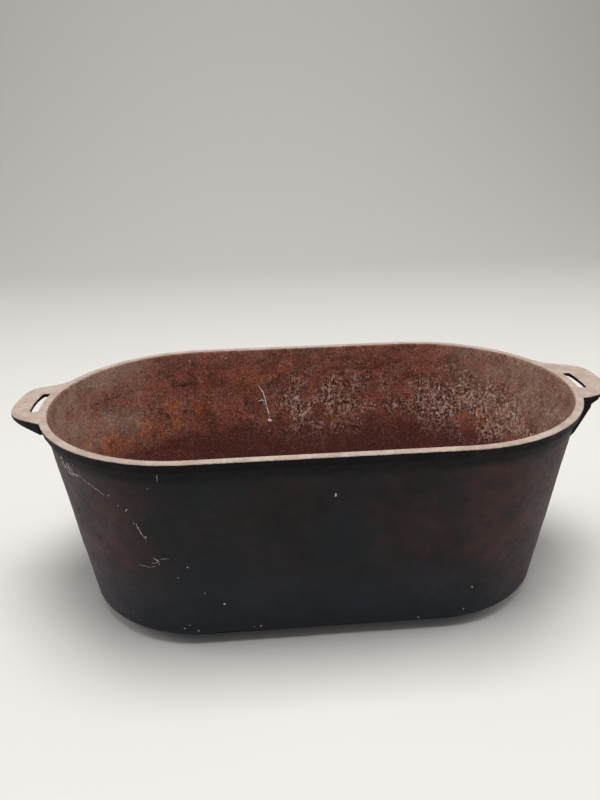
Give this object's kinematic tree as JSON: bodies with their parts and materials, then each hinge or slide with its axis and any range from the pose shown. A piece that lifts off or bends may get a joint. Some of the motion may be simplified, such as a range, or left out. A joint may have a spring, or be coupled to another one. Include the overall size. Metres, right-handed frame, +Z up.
{
  "type": "dutch oven",
  "caption": "Oblong cast iron dutch oven: tapered wall, flat rim band, slotted lifting tab at each end, base stepped to sit in a stove opening, no lid.",
  "frame": {"origin": "centre of the flat face that the pot stands on", "axes": "+X from handle to handle, +Y from front to back, +Z up"},
  "size_m": [0.564, 0.284, 0.2],
  "materials": {
    "base_iron": "sooty, dry as-cast underside",
    "wall_iron": "old seasoning gone dull, slate black with rust brown patches, pitted rust inside",
    "rim_iron": "bare, worn pale and dusty on top, dark on its outer face",
    "handle_iron": "bare, worn pale and dusty on top, dark underneath"
  },
  "bodies": {
    "root": {"sunken_base": "base_iron", "lower_corner": "wall_iron", "side_wall": "wall_iron", "rim_band": "rim_iron", "left_handle": "handle_iron", "right_handle": "handle_iron", "left_handle_front_rib": "handle_iron", "left_handle_rear_rib": "handle_iron", "right_handle_front_rib": "handle_iron", "right_handle_rear_rib": "handle_iron"}
  },
  "joints": []
}
